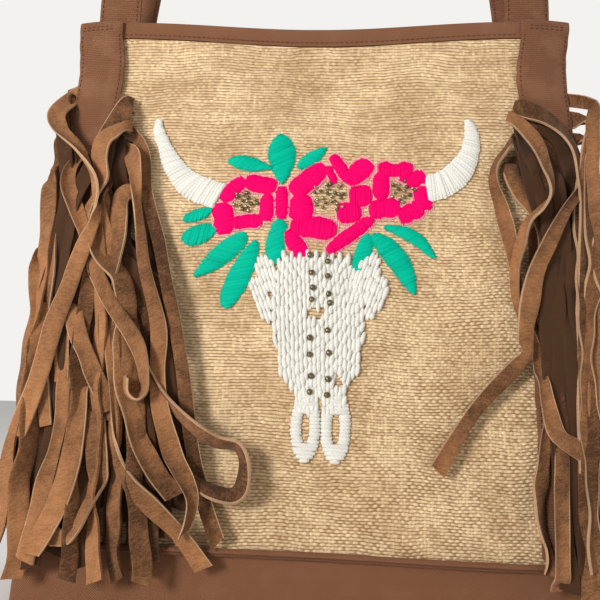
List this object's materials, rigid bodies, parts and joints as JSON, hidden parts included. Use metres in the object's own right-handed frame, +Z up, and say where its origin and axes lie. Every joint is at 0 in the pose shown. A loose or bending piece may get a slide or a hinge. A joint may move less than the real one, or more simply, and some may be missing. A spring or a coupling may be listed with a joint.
{
  "type": "fringe tote bag",
  "caption": "Open tote with jute walls on a canvas base, webbing bands and handles, suede fringe down both front edges and a stitched skull with flowers on the front.",
  "frame": {"origin": "middle of the base's underside", "axes": "+Z up through the mouth, front face towards -Y, +X to the right as seen from the front"},
  "size_m": [0.3885, 0.1457, 0.6102],
  "materials": {
    "jute": "coarse plain weave",
    "canvas": "brown twill",
    "webbing": "ribbed brown webbing",
    "suede": "napped suede",
    "white_yarn": "wool yarn stitches",
    "pink_floss": "satin stitches",
    "green_floss": "satin stitches"
  },
  "bodies": {
    "root": {"front_panel": "jute", "back_panel": "jute", "base_boot": "canvas", "piping": "canvas", "mouth_binding": "canvas", "gusset_left": "canvas", "gusset_right": "canvas", "strap_front_left": "webbing", "strap_front_right": "webbing", "strap_back_left": "webbing", "strap_back_right": "webbing", "handle_front": "webbing", "handle_back": "webbing", "fringe_left": "suede", "fringe_right": "suede", "flower_left": "pink_floss", "flower_middle": "pink_floss", "flower_right": "pink_floss", "petal_bar": "pink_floss", "leaf_01": "green_floss", "leaf_02": "green_floss", "leaf_03": "green_floss", "leaf_04": "green_floss", "leaf_05": "green_floss", "leaf_06": "green_floss", "leaf_07": "green_floss", "leaf_08": "green_floss", "leaf_09": "green_floss", "leaf_10": "green_floss", "leaf_11": "green_floss", "horn_left": "white_yarn", "horn_right": "white_yarn", "skull": "white_yarn"}
  },
  "joints": []
}
